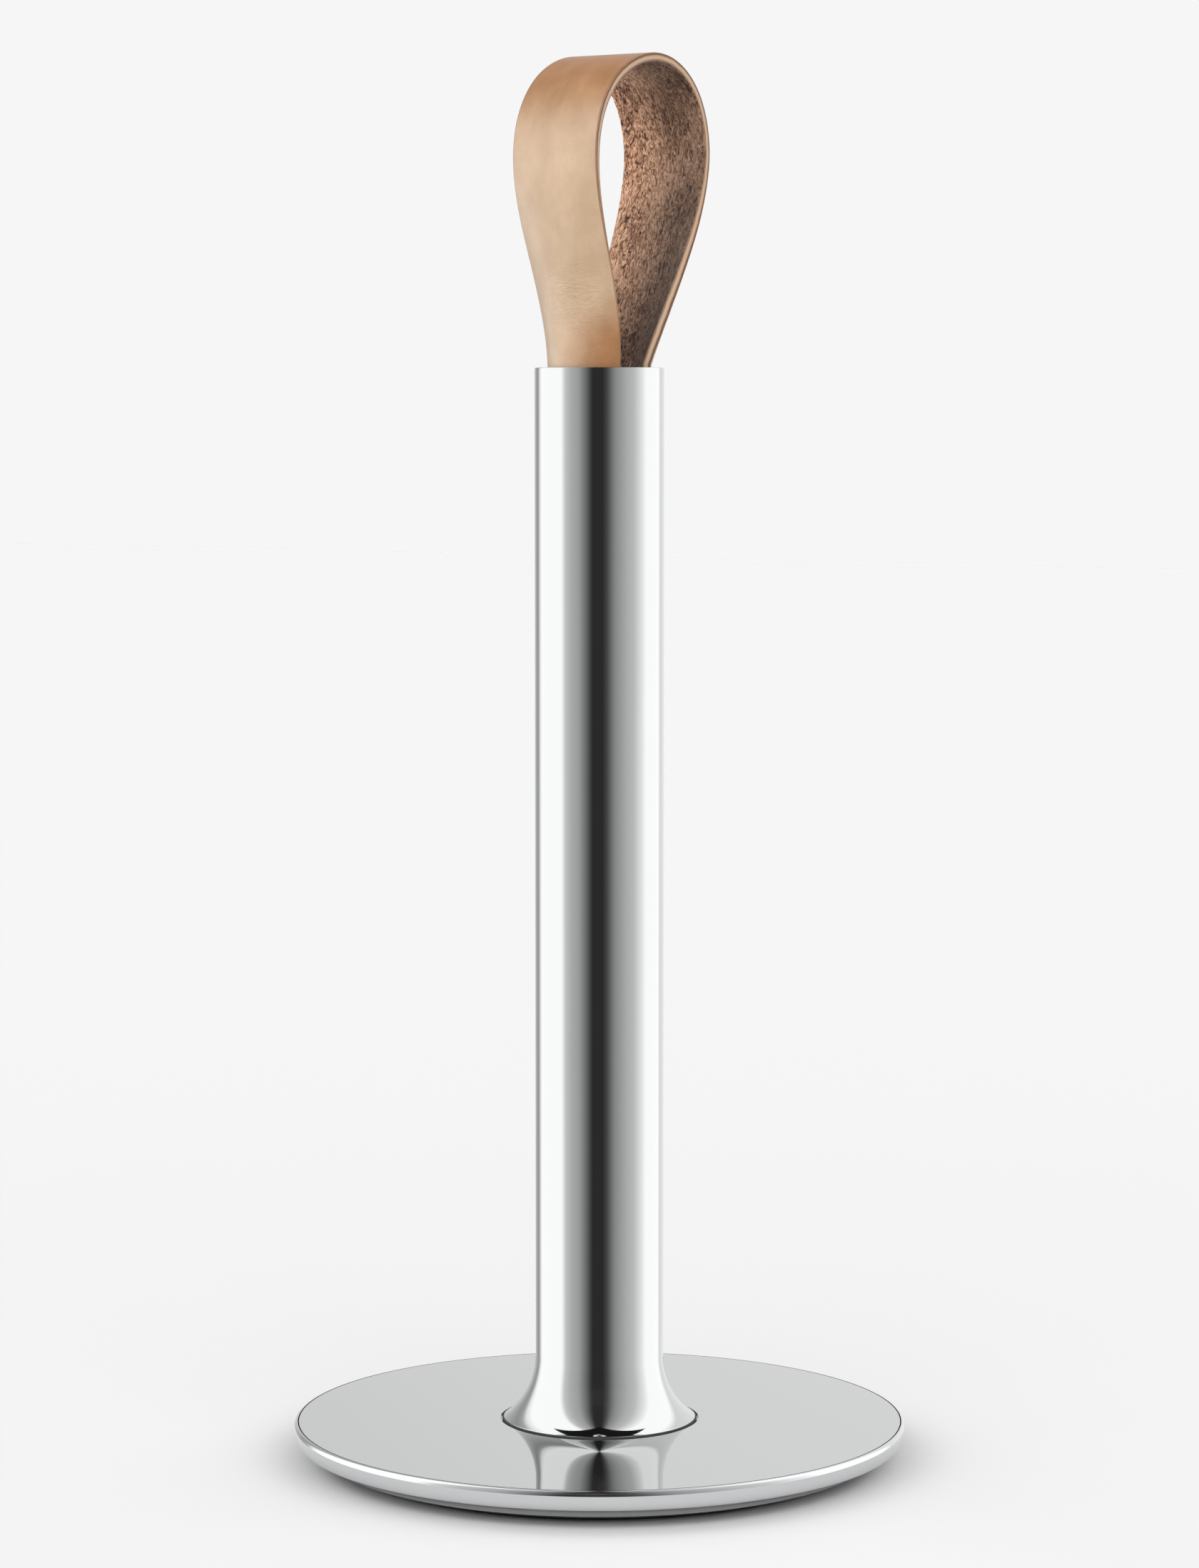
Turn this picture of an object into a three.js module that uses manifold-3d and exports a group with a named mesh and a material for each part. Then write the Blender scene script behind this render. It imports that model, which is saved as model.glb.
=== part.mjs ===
// Paper towel holder: a weighted round base, a flared tube post and a leather pull loop.
// Millimetres, +Z up. The origin is the centre of the underside, on the table.
// The loop lies in the XZ plane, and its band runs along Y.
import * as THREE from 'three';
import { mergeVertices } from 'three/addons/utils/BufferGeometryUtils.js';
import Module from 'manifold-3d';

const wasm = await Module();
wasm.setup();

// Driving dimensions: heights of the layers of the base
const padTop = 1.5;
const coverTop = 2.7;
const ballastFlangeTop = 4.2;
const plateBottom = 9.0;
const recessFloor = 9.9;
const plateTop = 10.5;
const gasketTop = 10.8;

// Driving dimensions: base
const baseRadius = 76.5;
const rimWidestZ = 9.2;
const rimLowerRadius = 74.6;
const rimLowerZ = 5.4;
const ringBottomRadius = 69.5;
const ringCoveRadius = 71.5;
const ringCoveZ = 4.4;
const plateRadius = 75.3;
const seamGap = 0.25;
const ballastRadius = 65.8;
const ballastFlangeRadius = 68;
const coverRadius = 69;
const coverEdgeSetback = 3;
const padOuterRadius = 62;
const padInnerRadius = 46;
const screwCircleRadius = 36;
const screwCount = 4;
const screwShankRadius = 1.45;
const screwTop = 6.8;
const screwHeadBottom = 0.5;

// Driving dimensions: post
const tubeRadius = 16;
const boreRadius = 14.5;
const tubeTop = 272.6;
const flareRadius = 18.7;
const flareHeight = 15.4;
const footLipThickness = 1.6;
const recessRadius = 24.8;
const insertHeight = 22;
const gasketInnerRadius = 19;
const boltHoleRadius = 4.4;
const boltRadius = 4;
const boltHeadBottom = 2.9;
const boltHeadTop = 5.2;
const boltTop = 27;
const springWasherTop = 6.4;
const flatWasherTop = 7.4;

// Driving dimensions: strap
const strapWidth = 25;
const strapThickness = 2.2;
const legOffset = 12;
const legAngle = THREE.MathUtils.degToRad(10);
const legBend = 0.0161773;
const loopSpring = -8.26302e-4;
const loopHalfLength = 90.51;
const loopClearance = 4.5;
const leftLean = [20.1, -19.8, -13.2, 20.2];
const rightLean = [17.1, -49.6, 77.1, -37.3];
const tailRadius = 12.2;
const tailBottom = 229;
const tailSetback = 0.5;
const rivetZ = 240;
const rivetHoleRadius = 2.15;
const rivetHeadRadius = 2.8;

// Running and seating clearance between neighbours
const fit = 0.2;

const chrome = { color: 0xc9cbcd, roughness: 0.08, metalness: 1 };
const steel = { color: 0x9c9ea0, roughness: 0.35, metalness: 1 };
const iron = { color: 0x3c3d3f, roughness: 0.8, metalness: 0.6 };
const rubber = { color: 0x151515, roughness: 0.9, metalness: 0 };
const plastic = { color: 0x26272a, roughness: 0.6, metalness: 0 };
const leather = { color: 0xb08a62, roughness: 0.6, metalness: 0 };

const holder = new THREE.Group();

function addPiece(name, geometry, finish) {
  const mesh = new THREE.Mesh(geometry, new THREE.MeshStandardMaterial(finish));
  mesh.name = name;
  holder.add(mesh);
  return mesh;
}

// Turns a profile of [radius, z] points about the Z axis.
// The profile runs anticlockwise in the (radius, z) half plane.
function turned(profile, segments) {
  const points = profile.map(([radius, z]) => new THREE.Vector2(radius, z));
  return new THREE.LatheGeometry(points, segments).rotateX(Math.PI / 2);
}

// A closed ring profile, repeated at its start so that the surface closes on itself
function turnedRing(profile, segments) {
  return turned([...profile, profile[0]], segments);
}

function rod(radius, bottom, top, segments) {
  const height = top - bottom;
  const cylinder = new THREE.CylinderGeometry(radius, radius, height, segments);
  return cylinder.rotateX(Math.PI / 2).translate(0, 0, bottom + height / 2);
}

// Points on an arc of a circle in the (radius, z) half plane, angles in radians
function arc(centreRadius, centreZ, radiusR, radiusZ, from, to, steps) {
  const points = [];
  for (let i = 0; i <= steps; i += 1) {
    const angle = from + ((to - from) * i) / steps;
    points.push([centreRadius + radiusR * Math.cos(angle), centreZ + radiusZ * Math.sin(angle)]);
  }
  return points;
}

function toSolid(geometry) {
  const bare = geometry.clone();
  bare.deleteAttribute('normal');
  bare.deleteAttribute('uv');
  const merged = mergeVertices(bare, 1e-4);
  const vertProperties = new Float32Array(merged.attributes.position.array);
  const triVerts = new Uint32Array(dropSlivers(merged.index.array));
  return new wasm.Manifold(new wasm.Mesh({ numProp: 3, vertProperties, triVerts }));
}

// Triangles that lost a side when their corners were merged on the axis
function dropSlivers(index) {
  const kept = [];
  for (let i = 0; i < index.length; i += 3) {
    const [a, b, c] = index.slice(i, i + 3);
    if (a !== b && b !== c && c !== a) {
      kept.push(a, b, c);
    }
  }
  return kept;
}

function fromSolid(solid) {
  const mesh = solid.getMesh();
  const geometry = new THREE.BufferGeometry();
  geometry.setAttribute('position', new THREE.BufferAttribute(mesh.vertProperties, 3));
  geometry.setIndex(new THREE.BufferAttribute(mesh.triVerts, 1));
  geometry.computeVertexNormals();
  return geometry;
}

function cutAway(geometry, cutters) {
  let solid = toSolid(geometry);
  for (const cutter of cutters) {
    solid = solid.subtract(toSolid(cutter));
  }
  return fromSolid(solid);
}

// One copy of a rod for each screw, on the screws' circle
function screwRods(radius, bottom, top, segments) {
  const rods = [];
  for (let i = 0; i < screwCount; i += 1) {
    const angle = Math.PI / 4 + (i * 2 * Math.PI) / screwCount;
    const x = screwCircleRadius * Math.cos(angle);
    const y = screwCircleRadius * Math.sin(angle);
    rods.push(rod(radius, bottom, top, segments).translate(x, y, 0));
  }
  return rods;
}

// Chromed ring: bullnose rim, a ledge under the plate, a step over the ballast's flange
function baseRing() {
  const seamRadius = plateRadius + seamGap;
  const rimReach = baseRadius - seamRadius;
  const profile = [
    [ballastFlangeRadius + fit, coverTop],
    [ringBottomRadius, coverTop],
    [ringCoveRadius, ringCoveZ],
    [rimLowerRadius, rimLowerZ],
    ...arc(rimLowerRadius, rimWidestZ, baseRadius - rimLowerRadius, rimWidestZ - rimLowerZ, -1.1, 0, 4),
    ...arc(seamRadius, rimWidestZ, rimReach, plateTop - rimWidestZ, 0.4, Math.PI / 2, 4),
    [seamRadius, plateBottom],
    [ballastRadius + fit, plateBottom],
    [ballastRadius + fit, ballastFlangeTop],
    [ballastFlangeRadius + fit, ballastFlangeTop],
  ];
  addPiece('base_ring', turnedRing(profile, 80), chrome);
}

// Polished disc with a shallow recess for the foot and a hole for the bolt
function topPlate() {
  const profile = [
    [boltHoleRadius, plateBottom],
    [plateRadius, plateBottom],
    [plateRadius, plateTop],
    [recessRadius, plateTop],
    [recessRadius, recessFloor],
    [boltHoleRadius, recessFloor],
  ];
  addPiece('top_plate', turnedRing(profile, 80), chrome);
}

// Cast weight: a flange holds the ring, and a counterbore takes the bolt's head
function ballastDisc() {
  const counterboreRadius = 10;
  const profile = [
    [counterboreRadius, coverTop],
    [ballastFlangeRadius, coverTop],
    [ballastFlangeRadius, ballastFlangeTop],
    [ballastRadius, ballastFlangeTop],
    [ballastRadius, plateBottom],
    [boltHoleRadius, plateBottom],
    [boltHoleRadius, flatWasherTop],
    [counterboreRadius, flatWasherTop],
  ];
  const pilotHoleTop = 7.5;
  const holes = screwRods(screwShankRadius + 0.15, coverTop - 1, pilotHoleTop, 12);
  addPiece('ballast_disc', cutAway(turnedRing(profile, 64), holes), iron);
}

function bottomCover() {
  const profile = [
    [0, padTop],
    [coverRadius - coverEdgeSetback, padTop],
    [coverRadius, coverTop],
    [0, coverTop],
  ];
  const holes = screwRods(screwShankRadius + 0.25, padTop - 1, coverTop + 1, 12);
  addPiece('bottom_cover', cutAway(turned(profile, 64), holes), plastic);
}

function antislipPad() {
  const profile = [
    [padInnerRadius, 0],
    [padOuterRadius, 0],
    [padOuterRadius, padTop],
    [padInnerRadius, padTop],
  ];
  addPiece('antislip_pad', turnedRing(profile, 64), rubber);
}

// Pan-head screws up through the cover into the ballast
function coverScrews() {
  const headRadius = 2.8;
  const profile = [
    [0, screwHeadBottom],
    [headRadius - 0.6, screwHeadBottom],
    [headRadius, screwHeadBottom + 0.5],
    [headRadius, padTop],
    [screwShankRadius, padTop],
    [screwShankRadius, screwTop],
    [0, screwTop],
  ];
  for (let i = 0; i < screwCount; i += 1) {
    const angle = Math.PI / 4 + (i * 2 * Math.PI) / screwCount;
    const screw = addPiece(`cover_screw_${i + 1}`, turned(profile, 16), steel);
    screw.position.set(screwCircleRadius * Math.cos(angle), screwCircleRadius * Math.sin(angle), 0);
  }
}

function footGasket() {
  const profile = [
    [gasketInnerRadius, recessFloor],
    [recessRadius - 2 * fit, recessFloor],
    [recessRadius - 2 * fit, gasketTop],
    [gasketInnerRadius, gasketTop],
  ];
  addPiece('foot_gasket', turnedRing(profile, 64), rubber);
}

// One tube, its foot flared out in an arc and its top left open
function postTube() {
  const flareTop = gasketTop + flareHeight;
  const sweep = Math.asin(flareHeight / flareRadius);
  const wall = tubeRadius - boreRadius;
  const outerCentre = tubeRadius + flareRadius;
  const innerFlare = flareRadius + wall;
  const innerHeight = flareHeight - footLipThickness;
  const innerSweep = Math.asin(innerHeight / innerFlare);
  const lipRadius = outerCentre - innerFlare * Math.cos(innerSweep);
  const lipChamfer = 0.35;
  const profile = [
    [lipRadius, gasketTop],
    ...arc(outerCentre, flareTop, flareRadius, flareRadius, Math.PI + sweep, Math.PI, 9),
    [tubeRadius, tubeTop - lipChamfer],
    [tubeRadius - lipChamfer, tubeTop],
    [boreRadius + lipChamfer, tubeTop],
    [boreRadius, tubeTop - lipChamfer],
    ...arc(outerCentre, flareTop, innerFlare, innerFlare, Math.PI, Math.PI + innerSweep, 5),
  ];
  addPiece('post_tube', turnedRing(profile, 64), chrome);
}

// Threaded boss in the foot of the tube, with a blind hole for the bolt
function footInsert() {
  const insertTop = recessFloor + insertHeight;
  const holeRadius = boltRadius + 0.05;
  const holeTop = insertTop - 3;
  const profile = [
    [holeRadius, recessFloor],
    [boreRadius - fit, recessFloor],
    [boreRadius - fit, insertTop],
    [0, insertTop],
    [0, holeTop],
    [holeRadius, holeTop],
  ];
  addPiece('foot_insert', fromSolid(toSolid(turnedRing(profile, 32))), steel);
}

// Low hex-head bolt from below, with its two washers
function footBolt() {
  const headRadius = 7.5;
  const head = toSolid(rod(headRadius, boltHeadBottom, boltHeadTop, 6));
  const shank = toSolid(rod(boltRadius, boltHeadTop - 0.5, boltTop, 24));
  addPiece('post_bolt', fromSolid(head.add(shank)), steel);

  const washerHoleRadius = boltRadius + 0.3;
  const springRadius = 7.2;
  const split = 0.12;
  const ring = new THREE.Shape();
  ring.absarc(0, 0, springRadius, split, 2 * Math.PI - split, false);
  ring.absarc(0, 0, washerHoleRadius, 2 * Math.PI - split, split, true);
  const options = { depth: springWasherTop - boltHeadTop, bevelEnabled: false, curveSegments: 24 };
  const springWasher = new THREE.ExtrudeGeometry(ring, options).translate(0, 0, boltHeadTop);
  addPiece('spring_washer', springWasher, steel);

  const washerRadius = 8.5;
  const washer = [
    [washerHoleRadius, springWasherTop],
    [washerRadius, springWasherTop],
    [washerRadius, flatWasherTop],
    [washerHoleRadius, flatWasherTop],
  ];
  addPiece('flat_washer', turnedRing(washer, 32), steel);
}

// Plug in the bore: a collar that grips the tube and a core between the strap's ends
function strapPlug() {
  const collarBottom = 221;
  const coreTop = 260;
  const coreRadius = tailRadius - strapThickness - fit;
  const profile = [
    [0, collarBottom],
    [boreRadius - fit, collarBottom],
    [boreRadius - fit, tailBottom - fit],
    [coreRadius, tailBottom - fit],
    [coreRadius, coreTop - 2],
    [coreRadius - 2, coreTop],
    [0, coreTop],
  ];
  const crossHole = rod(rivetHoleRadius, -boreRadius, boreRadius, 16).rotateY(Math.PI / 2).translate(0, 0, rivetZ);
  addPiece('strap_plug', cutAway(turned(profile, 40), [crossHole]), plastic);
}

// The strap's two ends, curled to the bore on either side of the plug
function strapTails() {
  const inner = tailRadius - strapThickness;
  const halfAngle = strapWidth / 2 / (tailRadius - strapThickness / 2);
  const height = tubeTop - tailSetback - tailBottom;
  for (const [name, facing] of [['strap_tail_1', 0], ['strap_tail_2', Math.PI]]) {
    const section = new THREE.Shape();
    section.absarc(0, 0, tailRadius, facing - halfAngle, facing + halfAngle, false);
    section.absarc(0, 0, inner, facing + halfAngle, facing - halfAngle, true);
    const options = { depth: height, bevelEnabled: false, curveSegments: 10 };
    const tail = new THREE.ExtrudeGeometry(section, options).translate(0, 0, tailBottom);
    const side = Math.cos(facing) * tailRadius;
    const hole = rod(rivetHoleRadius, -5, 5, 16).rotateY(Math.PI / 2).translate(side, 0, rivetZ);
    addPiece(name, cutAway(tail, [hole]), leather);
  }
}

// Rivet through strap, plug and strap, with a washer under each head
function strapRivet() {
  const washerInner = tailRadius + 0.05;
  const washerOuter = washerInner + 0.4;
  const headEnd = washerOuter + 0.7;
  const shankRadius = rivetHoleRadius - 0.15;
  const washerRadius = 3.5;
  const profile = [
    [0, -headEnd],
    [rivetHeadRadius - 0.6, -headEnd],
    [rivetHeadRadius, -headEnd + 0.3],
    [rivetHeadRadius, -washerOuter],
    [shankRadius, -washerOuter],
    [shankRadius, washerOuter],
    [rivetHeadRadius, washerOuter],
    [rivetHeadRadius, headEnd - 0.3],
    [rivetHeadRadius - 0.6, headEnd],
    [0, headEnd],
  ];
  const rivet = turned(profile, 16).rotateY(Math.PI / 2).translate(0, 0, rivetZ);
  addPiece('strap_rivet', rivet, steel);

  const washer = [
    [rivetHoleRadius, washerInner],
    [washerRadius, washerInner],
    [washerRadius, washerOuter],
    [rivetHoleRadius, washerOuter],
  ];
  for (const [name, turn] of [['rivet_washer_1', Math.PI / 2], ['rivet_washer_2', -Math.PI / 2]]) {
    const geometry = turnedRing(washer, 16).rotateY(turn).translate(0, 0, rivetZ);
    addPiece(name, geometry, steel);
  }
}

// Half of the loop's centre line, from the mouth of the tube up to the crown.
// A springy strip under an end load: its bend changes with the cosine of its slope.
function loopHalf(steps) {
  const points = [];
  const step = loopHalfLength / steps;
  let angle = legAngle;
  let bend = legBend;
  let across = legOffset;
  let up = 0;
  for (let i = 0; i <= steps; i += 1) {
    points.push({ across, up, angle });
    const middle = angle + (bend * step) / 2;
    across += Math.sin(middle) * step;
    up += Math.cos(middle) * step;
    bend += loopSpring * Math.cos(middle) * step;
    angle += bend * step;
  }
  return points;
}

// Sideways lean of a leg at a share of the loop's height: a polynomial without a constant term
function leanAt(share, lean) {
  return lean.reduce((sum, factor, i) => sum + factor * share ** (i + 1), 0);
}

// The loop's outline, offset from the centre line by half the strap's thickness
function loopEdge(half, offset) {
  const crown = half[half.length - 1].up;
  const side = (facing, lean) => half.map(({ across, up, angle }) => {
    const x = facing * (across + offset * Math.cos(angle)) + leanAt(up / crown, lean);
    return new THREE.Vector2(x, up - offset * Math.sin(angle));
  });
  const left = side(-1, leftLean).slice(0, -1).reverse();
  return [...side(1, rightLean), ...left];
}

function strapLoop() {
  const half = loopHalf(120).filter(({ up }, i) => up > loopClearance && i % 5 === 0);
  const outer = loopEdge(half, strapThickness / 2);
  const inner = loopEdge(half, -strapThickness / 2);
  const outline = new THREE.Shape([...outer, ...inner.reverse()]);
  const options = { depth: strapWidth, bevelEnabled: false };
  const band = new THREE.ExtrudeGeometry(outline, options).translate(0, 0, -strapWidth / 2);
  band.rotateX(Math.PI / 2).translate(0, 0, tubeTop);
  addPiece('strap_loop', band, leather);
}

baseRing();
topPlate();
ballastDisc();
bottomCover();
antislipPad();
coverScrews();
footGasket();
postTube();
footInsert();
footBolt();
strapPlug();
strapTails();
strapRivet();
strapLoop();

export default holder;
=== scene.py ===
"""Paper towel holder: a polished stand with a leather pull loop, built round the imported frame.
Metres, +Z up, in the frame of the CAD: the loop lies in the XZ plane and its band runs along Y."""
import math
import bpy
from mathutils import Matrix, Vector, noise
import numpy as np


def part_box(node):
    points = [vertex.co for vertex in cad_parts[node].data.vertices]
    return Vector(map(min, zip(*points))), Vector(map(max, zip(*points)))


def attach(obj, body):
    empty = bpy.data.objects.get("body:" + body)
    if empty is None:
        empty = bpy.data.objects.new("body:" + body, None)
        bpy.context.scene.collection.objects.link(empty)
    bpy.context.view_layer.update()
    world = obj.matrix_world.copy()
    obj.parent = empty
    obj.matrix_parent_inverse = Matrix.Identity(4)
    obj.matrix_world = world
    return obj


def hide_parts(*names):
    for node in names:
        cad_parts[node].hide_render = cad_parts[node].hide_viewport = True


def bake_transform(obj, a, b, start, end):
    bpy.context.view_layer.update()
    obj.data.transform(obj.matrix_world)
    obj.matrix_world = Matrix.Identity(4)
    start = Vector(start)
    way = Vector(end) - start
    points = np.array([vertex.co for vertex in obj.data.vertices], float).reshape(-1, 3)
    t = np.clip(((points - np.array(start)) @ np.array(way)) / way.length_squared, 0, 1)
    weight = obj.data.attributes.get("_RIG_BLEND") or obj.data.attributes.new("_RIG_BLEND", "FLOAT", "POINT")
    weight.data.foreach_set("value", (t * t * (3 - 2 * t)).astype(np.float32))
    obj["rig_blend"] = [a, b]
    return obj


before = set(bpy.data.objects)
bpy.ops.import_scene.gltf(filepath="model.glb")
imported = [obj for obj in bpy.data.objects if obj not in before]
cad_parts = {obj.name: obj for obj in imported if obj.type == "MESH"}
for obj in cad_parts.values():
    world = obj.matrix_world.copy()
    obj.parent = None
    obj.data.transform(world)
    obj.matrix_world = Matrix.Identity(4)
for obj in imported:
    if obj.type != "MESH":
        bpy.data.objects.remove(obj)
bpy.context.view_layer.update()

# ---------------------------------------------------------------------------------------------
# Base ring: a zinc casting, turned on its bullnose edge, polished and chrome plated. It drops
# over the weight, and the plate is let into its top.
# ---------------------------------------------------------------------------------------------

MM = 0.001


def turn_on_lathe(name, profile, steps=288):
    """A profile of (radius, z) points in millimetres, spun about the post's axis."""
    bpy.ops.object.select_all(action="DESELECT")
    bpy.ops.mesh.primitive_plane_add(size=MM)
    piece = bpy.context.object
    piece.name = name
    piece.data.name = name
    bpy.ops.object.mode_set(mode="EDIT")
    bpy.ops.mesh.merge(type="CENTER")
    bpy.ops.transform.translate(value=(profile[0][0] * MM, 0, profile[0][1] * MM))
    for (radius, z), (next_radius, next_z) in zip(profile, profile[1:]):
        move = ((next_radius - radius) * MM, 0, (next_z - z) * MM)
        bpy.ops.mesh.extrude_vertices_move(TRANSFORM_OT_translate={"value": move})
    bpy.ops.mesh.select_all(action="SELECT")
    bpy.ops.mesh.spin(steps=steps, angle=math.tau, center=(0, 0, 0), axis=(0, 0, 1))
    bpy.ops.mesh.select_all(action="SELECT")
    bpy.ops.mesh.remove_doubles(threshold=0.002 * MM)
    bpy.ops.mesh.normals_make_consistent(inside=False)
    bpy.ops.object.mode_set(mode="OBJECT")
    return piece


def apply_modifier(piece, kind, **settings):
    """Adds one modifier with its settings, and applies it."""
    bpy.ops.object.select_all(action="DESELECT")
    bpy.context.view_layer.objects.active = piece
    piece.select_set(True)
    modifier = piece.modifiers.new(kind.title(), kind)
    for key, value in settings.items():
        setattr(modifier, key, value)
    bpy.ops.object.modifier_apply(modifier=modifier.name)


def break_edges(piece, width, segments=3):
    """Rounds every corner over 35 degrees, then lets the wide faces keep their own normals."""
    apply_modifier(piece, "BEVEL", width=width * MM, segments=segments, limit_method="ANGLE",
                   angle_limit=math.radians(35))
    bpy.ops.object.shade_smooth()
    apply_modifier(piece, "WEIGHTED_NORMAL", weight=100, keep_sharp=True)


def arc(centre, radii, start, end, steps):
    """Points on an ellipse in the (radius, z) half plane, from one angle in degrees to another."""
    points = []
    for i in range(steps + 1):
        angle = math.radians(start + (end - start) * i / steps)
        points.append((centre[0] + radii[0] * math.cos(angle), centre[1] + radii[1] * math.sin(angle)))
    return points


def node_box(name):
    """A CAD node's lowest and highest corners, in millimetres."""
    low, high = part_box(name)
    return low / MM, high / MM


def linear(hex_colour):
    """An sRGB hex colour as linear red, green, blue and alpha."""
    channels = [int(hex_colour[i:i + 2], 16) / 255 for i in (1, 3, 5)]
    return [c / 12.92 if c <= 0.04045 else ((c + 0.055) / 1.055) ** 2.4 for c in channels] + [1.0]


def add_node(tree, kind, sockets, stops=None, **settings):
    """Adds a node with its settings; a socket's value is a number, a colour or another's output."""
    node = tree.nodes.new(kind)
    for key, value in settings.items():
        setattr(node, key, value)
    for socket, value in sockets.items():
        if isinstance(value, bpy.types.NodeSocket):
            tree.links.new(value, node.inputs[socket])
        else:
            node.inputs[socket].default_value = value
    if stops:
        elements = node.color_ramp.elements
        while len(elements) < len(stops):
            elements.new(1.0)
        for element, (position, colour) in zip(elements, stops):
            element.position = position
            element.color = colour
    return node


def new_material(name):
    """A material with its node tree and its Principled shader."""
    material = bpy.data.materials.new(name)
    material.use_nodes = True
    return material, material.node_tree, material.node_tree.nodes["Principled BSDF"]


def finish_piece(piece, material, slot, body, *replaced):
    """Gives a piece its material, and hands it to the frame."""
    if material:
        piece.data.materials.clear()
        piece.data.materials.append(material)
    if replaced:
        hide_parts(*replaced)
    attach(piece, body)


def chrome_plated_zinc():
    """Bright chrome over a polished casting: a mirror with a trace of waviness from buffing."""
    material, tree, shader = new_material("chrome_plated_zinc")
    shader.inputs["Base Color"].default_value = linear("#CFD0D1")
    shader.inputs["Metallic"].default_value = 1.0
    place = add_node(tree, "ShaderNodeTexCoord", {})
    buffing = add_node(tree, "ShaderNodeTexNoise", {"Vector": place.outputs["Object"],
                                                    "Scale": 1 / (9 * MM),
                                                    "Detail": 3.0})
    haze = add_node(tree, "ShaderNodeMapRange", {"Value": buffing.outputs["Fac"], "To Min": 0.03,
                                                 "To Max": 0.09})
    tree.links.new(haze.outputs["Result"], shader.inputs["Roughness"])
    bump = add_node(tree, "ShaderNodeBump", {"Height": buffing.outputs["Fac"], "Strength": 0.05,
                                             "Distance": 0.1 * MM})
    tree.links.new(bump.outputs["Normal"], shader.inputs["Normal"])
    return material


def dull_seam_painted_shadow():
    """Metal the buffing wheel never reached: dull, and painted near black as the shadow in the seam."""
    material, tree, shader = new_material("dull_seam_painted_shadow")
    shader.inputs["Metallic"].default_value = 0.5
    shader.inputs["Roughness"].default_value = 0.7
    place = add_node(tree, "ShaderNodeTexCoord", {})
    seam_mottle = add_node(tree, "ShaderNodeTexNoise", {"Vector": place.outputs["Object"],
                                                  "Scale": 1 / (1.5 * MM),
                                                  "Detail": 3.0})
    # The near-black tone is painted shadow in the seam; the noise only varies it a little.
    tone = add_node(tree, "ShaderNodeValToRGB", {"Fac": seam_mottle.outputs["Fac"]},
                    stops=[(0.3, linear("#1B1B1C")), (0.7, linear("#2E2E2F"))])
    tree.links.new(tone.outputs["Color"], shader.inputs["Base Color"])
    return material


def give_seam_painted_shadow(piece, material, least_radius, most_radius):
    """Gives the walls of the seam, between two radii and below the plate's top, a second finish: dull, and
    painted near black as the seam's shadow.
    """
    tolerance = 0.01
    piece.data.materials.append(material)
    for face in piece.data.polygons:
        radius = math.hypot(face.center.x, face.center.y) / MM
        height = face.center.z / MM
        inside_seam = plate_low.z - tolerance < height < plate_high.z - tolerance
        if inside_seam and least_radius < radius < most_radius:
            face.material_index = 1


plate_low, plate_high = node_box("top_plate")
ballast_high = node_box("ballast_disc")[1]
ring_low, ring_high = node_box("base_ring")
seam_gap = 0.25
fit_gap = 0.2
seam_radius = plate_high.x + seam_gap
rim_widest_z = 9.2
rim_lower = (74.6, 5.4)
underside_radius = 69.5
underside_step = (71.5, 4.4)
edge_rounding = 0.06
rounded_reach = 0.07
ballast_flange_top = 4.2
ballast_radius = 65.8
lower_radii = (ring_high.x - rim_lower[0], rim_widest_z - rim_lower[1])
upper_radii = (ring_high.x - seam_radius, plate_high.z - rim_widest_z)

ring_profile = [
    (ballast_high.x + fit_gap, ring_low.z),
    (underside_radius, ring_low.z),
    underside_step,
    rim_lower,
    *arc((rim_lower[0], rim_widest_z), lower_radii, -72, 0, 12),
    *arc((seam_radius, rim_widest_z), upper_radii, 4, 90, 18),
    (seam_radius, plate_low.z),
    (ballast_radius + fit_gap, plate_low.z),
    (ballast_radius + fit_gap, ballast_flange_top),
    (ballast_high.x + fit_gap, ballast_flange_top),
    (ballast_high.x + fit_gap, ring_low.z),
]
base_ring = turn_on_lathe("chromed_base_ring", ring_profile, steps=360)
break_edges(base_ring, edge_rounding)
seat = dull_seam_painted_shadow()
finish_piece(base_ring, chrome_plated_zinc(), "polished_chrome", "stand", "base_ring")
give_seam_painted_shadow(base_ring, seat, plate_low.x, seam_radius + rounded_reach)

# ---------------------------------------------------------------------------------------------
# Top plate: stainless sheet, blanked, ground and mirror polished on a turning wheel. The roll
# stands on it, and the post's foot sits in a shallow recess in its middle.
# ---------------------------------------------------------------------------------------------


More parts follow.
